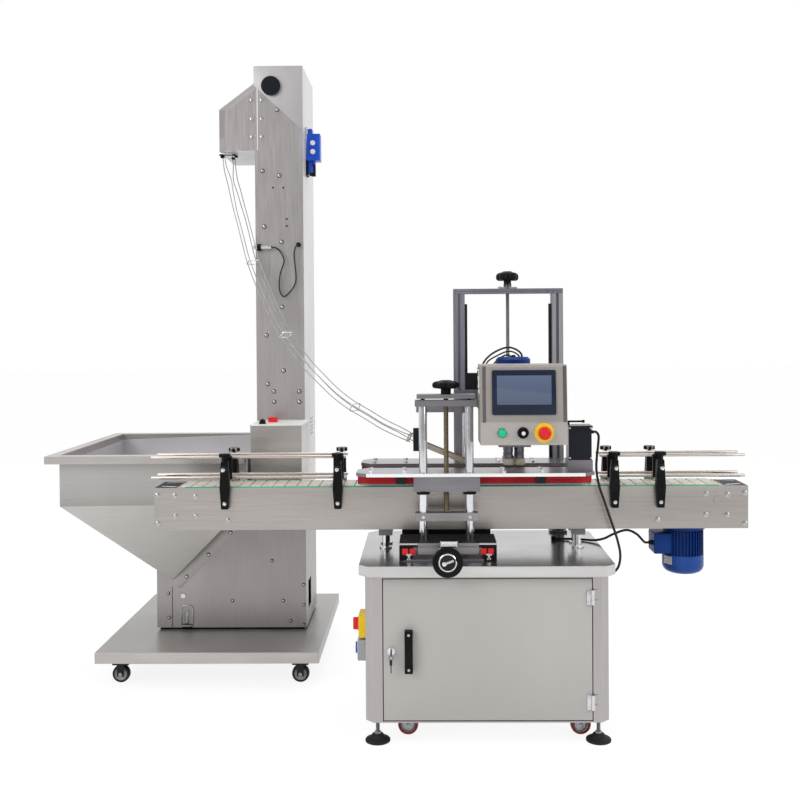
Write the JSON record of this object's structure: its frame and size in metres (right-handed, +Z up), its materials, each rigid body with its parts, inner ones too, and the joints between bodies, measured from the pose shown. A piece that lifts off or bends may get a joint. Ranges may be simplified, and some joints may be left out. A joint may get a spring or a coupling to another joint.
{
  "type": "bottle capping machine",
  "caption": "Bottle capping machine: slat conveyor on a steel cabinet, side belt grippers, spindle head on a portal, touch panel, and a cap elevator with hopper and wire chute.",
  "frame": {"origin": "bottom centre of the bounding box, on the floor", "axes": "+X along the conveyor from the infeed end to the outfeed end, +Y from the operator's side towards the elevator, +Z up"},
  "size_m": [2.398, 1.384, 2.276],
  "materials": {
    "brushed_steel": "vertical brushed",
    "pale_steel": "fine satin",
    "cabinet_paint": "satin",
    "taupe_paint": "fine texture",
    "chrome": "polished",
    "aluminium": "anodised",
    "brass_screw": "threaded, dull",
    "black_plastic": "fine texture",
    "black_steel": "blackened",
    "motor_blue": "gloss",
    "valve_blue": "gloss",
    "belt_red": "matte",
    "belt_dark": "matte",
    "stop_red": "gloss",
    "start_green": "gloss",
    "chain_cream": "smooth",
    "roller_cream": "matte",
    "screen_dark": "glossy glass front",
    "wheel_red": "smooth",
    "wheel_black": "matte",
    "foot_black": "matte",
    "cord_black": "matte"
  },
  "bodies": {
    "machine": {"cabinet_body": "cabinet_paint", "worktop": "pale_steel", "foot_front_left": "foot_black", "foot_front_right": "foot_black", "foot_rear_left": "foot_black", "foot_rear_right": "foot_black", "conveyor_frame": "brushed_steel", "slat_chain": "chain_cream", "conveyor_motor": "motor_blue", "slide_base": "black_steel", "rear_gripper": "aluminium", "rear_belt": "belt_red", "portal_frame": "aluminium", "hmi_box": "taupe_paint", "touch_screen": "screen_dark", "elevator_platform": "brushed_steel", "boot_housing": "brushed_steel", "column_housing": "brushed_steel", "cap_belt": "belt_dark", "hopper": "pale_steel", "elevator_control_box": "brushed_steel", "discharge_box": "brushed_steel", "air_valve": "valve_blue", "cap_chute": "chrome", "sensor_cord": "cord_black", "gripper_motor_cord": "cord_black", "conveyor_motor_cord": "cord_black"},
    "door": {"cabinet_door": "cabinet_paint"},
    "lock": {"door_lock": "chrome"},
    "power_switch": {"main_switch": "stop_red"},
    "caster_front_left": {"cabinet_wheel_front_left": "wheel_red"},
    "caster_front_right": {"cabinet_wheel_front_right": "wheel_red"},
    "caster_rear_left": {"cabinet_wheel_rear_left": "wheel_red"},
    "caster_rear_right": {"cabinet_wheel_rear_right": "wheel_red"},
    "sprocket": {"drive_shaft": "chrome"},
    "rail_front_left": {"guide_rail_front_left": "chrome"},
    "rail_front_right": {"guide_rail_front_right": "chrome"},
    "rail_rear_left": {"guide_rail_rear_left": "chrome"},
    "rail_rear_right": {"guide_rail_rear_right": "chrome"},
    "gripper_slide": {"gripper_posts": "chrome"},
    "width_wheel": {"handwheel": "black_plastic"},
    "height_screw": {"lift_screw": "brass_screw"},
    "gripper": {"front_gripper": "aluminium", "front_belt": "belt_red"},
    "head_height_screw": {"head_screw": "brass_screw"},
    "head": {"head_carriage": "motor_blue"},
    "wheel_front_left": {"spindle_front_left": "roller_cream"},
    "wheel_front_right": {"spindle_front_right": "roller_cream"},
    "wheel_rear_left": {"spindle_rear_left": "roller_cream"},
    "wheel_rear_right": {"spindle_rear_right": "roller_cream"},
    "green_button": {"start_button": "start_green"},
    "selector": {"selector_switch": "black_plastic"},
    "stop_button": {"emergency_stop": "stop_red"},
    "elevator_caster_front_left": {"elevator_wheel_front_left": "wheel_black"},
    "elevator_caster_front_right": {"elevator_wheel_front_right": "wheel_black"},
    "elevator_caster_rear_left": {"elevator_wheel_rear_left": "wheel_black"},
    "elevator_caster_rear_right": {"elevator_wheel_rear_right": "wheel_black"},
    "top_drum": {"head_drum": "chrome"},
    "bottom_drum": {"tail_drum": "chrome"},
    "speed_knob": {"elevator_knob": "black_plastic"}
  },
  "joints": [
    {"name": "door_hinge", "type": "hinge", "parent": "machine", "child": "door", "pos_m": [0.66325, -0.6433, 0.296], "axis": [0, 0, 1], "range_deg": [0, 110]},
    {"name": "lock_turn", "type": "hinge", "parent": "door", "child": "lock", "pos_m": [0.051, -0.64, 0.292], "axis": [0, 1, 0], "range_deg": [0, 90]},
    {"name": "power_turn", "type": "hinge", "parent": "machine", "child": "power_switch", "pos_m": [-0.06, -0.552, 0.3535], "axis": [1, 0, 0], "range_deg": [0, 90]},
    {"name": "caster_front_left_roll", "type": "hinge", "parent": "machine", "child": "caster_front_left", "pos_m": [0.099, -0.547, 0.036], "axis": [0, 1, 0], "continuous": true},
    {"name": "caster_front_right_roll", "type": "hinge", "parent": "machine", "child": "caster_front_right", "pos_m": [0.638, -0.547, 0.036], "axis": [0, 1, 0], "continuous": true},
    {"name": "caster_rear_left_roll", "type": "hinge", "parent": "machine", "child": "caster_rear_left", "pos_m": [0.099, -0.227, 0.036], "axis": [0, 1, 0], "continuous": true},
    {"name": "caster_rear_right_roll", "type": "hinge", "parent": "machine", "child": "caster_rear_right", "pos_m": [0.638, -0.227, 0.036], "axis": [0, 1, 0], "continuous": true},
    {"name": "sprocket_spin", "type": "hinge", "parent": "machine", "child": "sprocket", "pos_m": [1.099, -0.362, 0.716], "axis": [0, 1, 0], "continuous": true},
    {"name": "rail_front_left_slide", "type": "slide", "parent": "machine", "child": "rail_front_left", "axis": [0, 1, 0], "range_m": [-0.015, 0.015]},
    {"name": "rail_front_right_slide", "type": "slide", "parent": "machine", "child": "rail_front_right", "axis": [0, 1, 0], "range_m": [-0.015, 0.015]},
    {"name": "rail_rear_left_slide", "type": "slide", "parent": "machine", "child": "rail_rear_left", "axis": [0, 1, 0], "range_m": [-0.015, 0.015]},
    {"name": "rail_rear_right_slide", "type": "slide", "parent": "machine", "child": "rail_rear_right", "axis": [0, 1, 0], "range_m": [-0.015, 0.015]},
    {"name": "gripper_width", "type": "slide", "parent": "machine", "child": "gripper_slide", "axis": [0, 1, 0], "range_m": [-0.015, 0.015]},
    {"name": "width_wheel_turn", "type": "hinge", "parent": "machine", "child": "width_wheel", "pos_m": [0.224, -0.683, 0.573], "axis": [0, 1, 0], "range_deg": [-1351, 1351]},
    {"name": "gripper_height", "type": "slide", "parent": "gripper_slide", "child": "gripper", "axis": [0, 0, 1], "range_m": [0, 0.06]},
    {"name": "height_screw_turn", "type": "hinge", "parent": "gripper_slide", "child": "height_screw", "pos_m": [0.224, -0.527, 1.099], "axis": [0, 0, 1], "range_deg": [-1, 4321]},
    {"name": "head_height", "type": "slide", "parent": "machine", "child": "head", "axis": [0, 0, 1], "range_m": [0, 0.12]},
    {"name": "head_screw_turn", "type": "hinge", "parent": "machine", "child": "head_height_screw", "pos_m": [0.449, -0.146, 1.454], "axis": [0, 0, 1], "range_deg": [-1, 10801]},
    {"name": "wheel_front_left_spin", "type": "hinge", "parent": "head", "child": "wheel_front_left", "pos_m": [0.431, -0.393, 0.86], "axis": [0, 0, 1], "continuous": true},
    {"name": "wheel_front_right_spin", "type": "hinge", "parent": "head", "child": "wheel_front_right", "pos_m": [0.467, -0.393, 0.86], "axis": [0, 0, 1], "continuous": true},
    {"name": "wheel_rear_left_spin", "type": "hinge", "parent": "head", "child": "wheel_rear_left", "pos_m": [0.431, -0.331, 0.86], "axis": [0, 0, 1], "continuous": true},
    {"name": "wheel_rear_right_spin", "type": "hinge", "parent": "head", "child": "wheel_rear_right", "pos_m": [0.467, -0.331, 0.86], "axis": [0, 0, 1], "continuous": true},
    {"name": "green_button_press", "type": "slide", "parent": "machine", "child": "green_button", "axis": [0, 1, 0], "range_m": [0, 0.003], "stiffness_N_per_m": 600, "springref_m": -0.002},
    {"name": "selector_turn", "type": "hinge", "parent": "machine", "child": "selector", "pos_m": [0.4565, -0.626, 0.9545], "axis": [0, 1, 0], "range_deg": [-45, 45]},
    {"name": "stop_press", "type": "slide", "parent": "machine", "child": "stop_button", "axis": [0, 1, 0], "range_m": [0, 0.005], "stiffness_N_per_m": 900, "springref_m": -0.002},
    {"name": "elevator_front_left_roll", "type": "hinge", "parent": "machine", "child": "elevator_caster_front_left", "pos_m": [-0.952, -0.064, 0.0315], "axis": [0, 1, 0], "continuous": true},
    {"name": "elevator_front_right_roll", "type": "hinge", "parent": "machine", "child": "elevator_caster_front_right", "pos_m": [-0.3, -0.064, 0.0315], "axis": [0, 1, 0], "continuous": true},
    {"name": "elevator_rear_left_roll", "type": "hinge", "parent": "machine", "child": "elevator_caster_rear_left", "pos_m": [-0.952, 0.588, 0.0315], "axis": [0, 1, 0], "continuous": true},
    {"name": "elevator_rear_right_roll", "type": "hinge", "parent": "machine", "child": "elevator_caster_rear_right", "pos_m": [-0.3, 0.588, 0.0315], "axis": [0, 1, 0], "continuous": true},
    {"name": "top_drum_spin", "type": "hinge", "parent": "machine", "child": "top_drum", "pos_m": [-0.421, 0.302, 2.199], "axis": [0, 1, 0], "continuous": true},
    {"name": "bottom_drum_spin", "type": "hinge", "parent": "machine", "child": "bottom_drum", "pos_m": [-0.774, 0.302, 0.26], "axis": [0, 1, 0], "continuous": true},
    {"name": "speed_knob_turn", "type": "hinge", "parent": "machine", "child": "speed_knob", "pos_m": [-0.437, -0.032, 0.94], "axis": [0, 0, 1], "range_deg": [-270, 0]}
  ],
  "couplings": [
    {"joint": "width_wheel_turn", "follows": "gripper_width", "rad_per_m": 1570.8},
    {"joint": "height_screw_turn", "follows": "gripper_height", "rad_per_m": 1256.6},
    {"joint": "head_screw_turn", "follows": "head_height", "rad_per_m": 1570.8},
    {"joint": "wheel_front_right_spin", "follows": "wheel_front_left_spin", "ratio": 1},
    {"joint": "wheel_rear_left_spin", "follows": "wheel_front_left_spin", "ratio": -1},
    {"joint": "wheel_rear_right_spin", "follows": "wheel_front_left_spin", "ratio": -1},
    {"joint": "bottom_drum_spin", "follows": "top_drum_spin", "ratio": 1}
  ]
}
